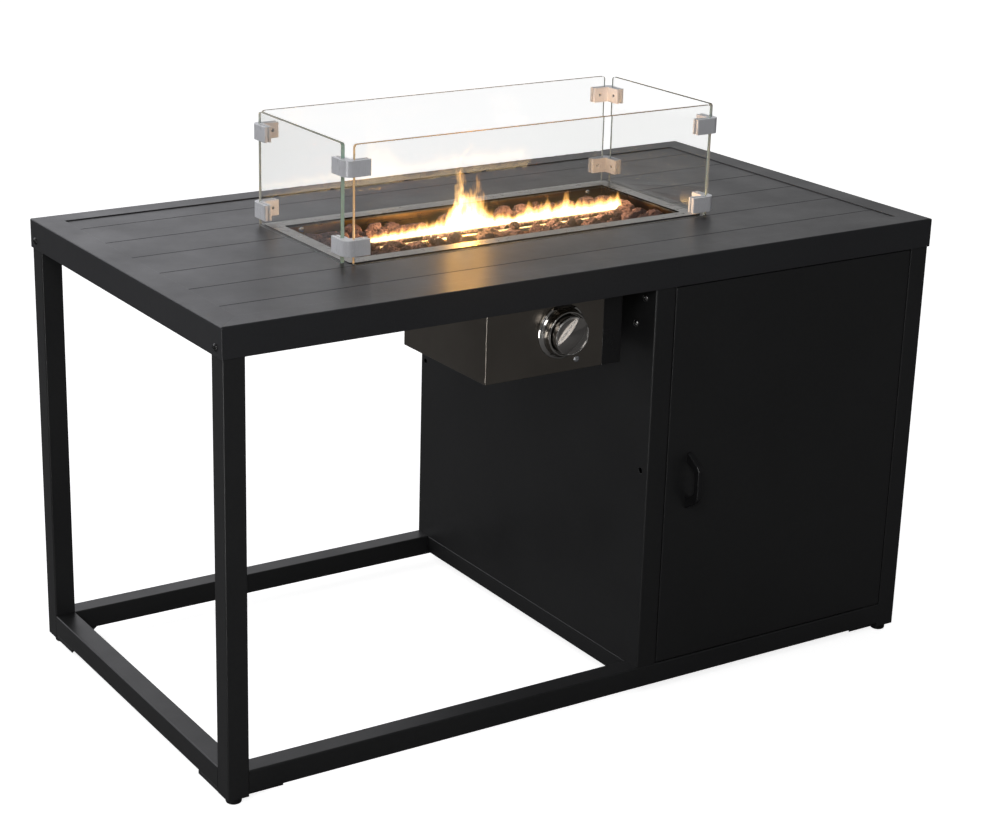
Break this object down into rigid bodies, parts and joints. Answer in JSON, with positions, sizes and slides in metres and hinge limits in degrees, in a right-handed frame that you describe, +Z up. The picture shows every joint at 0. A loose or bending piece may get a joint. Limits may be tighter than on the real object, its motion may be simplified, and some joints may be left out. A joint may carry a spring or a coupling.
{
  "type": "fire pit table",
  "caption": "Rectangular gas fire pit table: slatted metal top with a glass-guarded burner, open tube frame and a gas bottle cabinet with a hinged door.",
  "frame": {"origin": "middle of the object's footprint on the floor", "axes": "+X along the table towards the cabinet, -Y to the door and knob side, +Z up"},
  "size_m": [1.209, 0.6618, 0.8515],
  "materials": {
    "powder_coat": "matt anthracite powder coat",
    "black_coat": "satin black coat",
    "foot_plastic": "moulded black plastic",
    "black_plastic": "fine grained black plastic",
    "magnet_plastic": "white plastic housing",
    "guard_glass": "clear tempered, polished edges",
    "tray_steel": "brushed stainless, heat tinted",
    "burner_steel": "stainless, heat tinted",
    "box_steel": "brushed stainless",
    "lava_stone": "rough porous rock",
    "ceramic_white": "fired ceramic",
    "pipe_aluminium": "bent tube",
    "valve_brass": "machined",
    "zinc_steel": "bright zinc",
    "knob_chrome": "satin and polished chrome",
    "clamp_aluminium": "satin anodised"
  },
  "bodies": {
    "frame": {"leg_front_left": "powder_coat", "leg_front_right": "powder_coat", "leg_rear_left": "powder_coat", "leg_rear_right": "powder_coat", "base_rail_front": "powder_coat", "base_rail_rear": "powder_coat", "base_rail_left": "powder_coat", "base_rail_right": "powder_coat", "base_rail_middle": "powder_coat", "top_rail_front": "powder_coat", "top_rail_rear": "powder_coat", "top_rail_left": "powder_coat", "top_rail_right": "powder_coat", "burner_support_rails": "powder_coat", "corner_plates": "powder_coat", "table_edge_front": "powder_coat", "table_edge_rear": "powder_coat", "table_edge_left": "powder_coat", "table_edge_right": "powder_coat", "slat_1": "powder_coat", "slat_2": "powder_coat", "slat_3": "powder_coat", "slat_4": "powder_coat", "slat_5": "powder_coat", "slat_6": "powder_coat", "slat_7": "powder_coat", "cabinet_panel_left": "powder_coat", "cabinet_panel_right": "powder_coat", "cabinet_panel_rear": "powder_coat", "cabinet_floor": "powder_coat", "hinge_pivots": "zinc_steel", "door_magnet": "magnet_plastic", "burner_tray": "tray_steel", "burner_pipe": "burner_steel", "lava_rocks": "lava_stone", "pilot_probes": "ceramic_white", "gas_pipe": "pipe_aluminium", "gas_valve": "valve_brass", "control_box": "box_steel", "control_box_end_cover": "black_coat", "knob_bezel": "knob_chrome", "gas_inlet": "valve_brass", "frame_bolts": "black_coat", "small_screws": "zinc_steel"},
    "door": {"door_panel": "powder_coat", "door_handle": "black_plastic", "handle_screws": "zinc_steel"},
    "valve_push": {"valve_plunger": "zinc_steel"},
    "knob_unit": {"knob": "knob_chrome", "valve_spindle": "valve_brass"},
    "wind_guard": {"glass_front": "guard_glass", "glass_rear": "guard_glass", "glass_left": "guard_glass", "glass_right": "guard_glass", "glass_clamps": "clamp_aluminium", "clamp_grub_screws": "zinc_steel"},
    "foot_front_left": {"levelling_foot_front_left": "foot_plastic"},
    "foot_front_right": {"levelling_foot_front_right": "foot_plastic"},
    "foot_rear_left": {"levelling_foot_rear_left": "foot_plastic"},
    "foot_rear_right": {"levelling_foot_rear_right": "foot_plastic"}
  },
  "joints": [
    {"name": "door_hinge", "type": "hinge", "parent": "frame", "child": "door", "pos_m": [0.5566, -0.2969, 0.3446], "axis": [0, 0, 1], "range_deg": [0, 110]},
    {"name": "knob_push", "type": "slide", "parent": "frame", "child": "valve_push", "axis": [0, 1, 0], "range_m": [0, 0.0035], "stiffness_N_per_m": 1200, "springref_m": -0.002},
    {"name": "knob_turn", "type": "hinge", "parent": "valve_push", "child": "knob_unit", "pos_m": [-0.0553, -0.2864, 0.59], "axis": [0, -1, 0], "range_deg": [-136, 74]},
    {"name": "guard_lift", "type": "slide", "parent": "frame", "child": "wind_guard", "axis": [0, 0, 1], "range_m": [0, 0.25]},
    {"name": "foot_turn_front_left", "type": "hinge", "parent": "frame", "child": "foot_front_left", "pos_m": [-0.5836, -0.2856, 0.008], "axis": [0, 0, 1], "continuous": true},
    {"name": "foot_turn_front_right", "type": "hinge", "parent": "frame", "child": "foot_front_right", "pos_m": [0.5836, -0.2856, 0.008], "axis": [0, 0, 1], "continuous": true},
    {"name": "foot_turn_rear_left", "type": "hinge", "parent": "frame", "child": "foot_rear_left", "pos_m": [-0.5836, 0.3128, 0.008], "axis": [0, 0, 1], "continuous": true},
    {"name": "foot_turn_rear_right", "type": "hinge", "parent": "frame", "child": "foot_rear_right", "pos_m": [0.5836, 0.3128, 0.008], "axis": [0, 0, 1], "continuous": true}
  ]
}
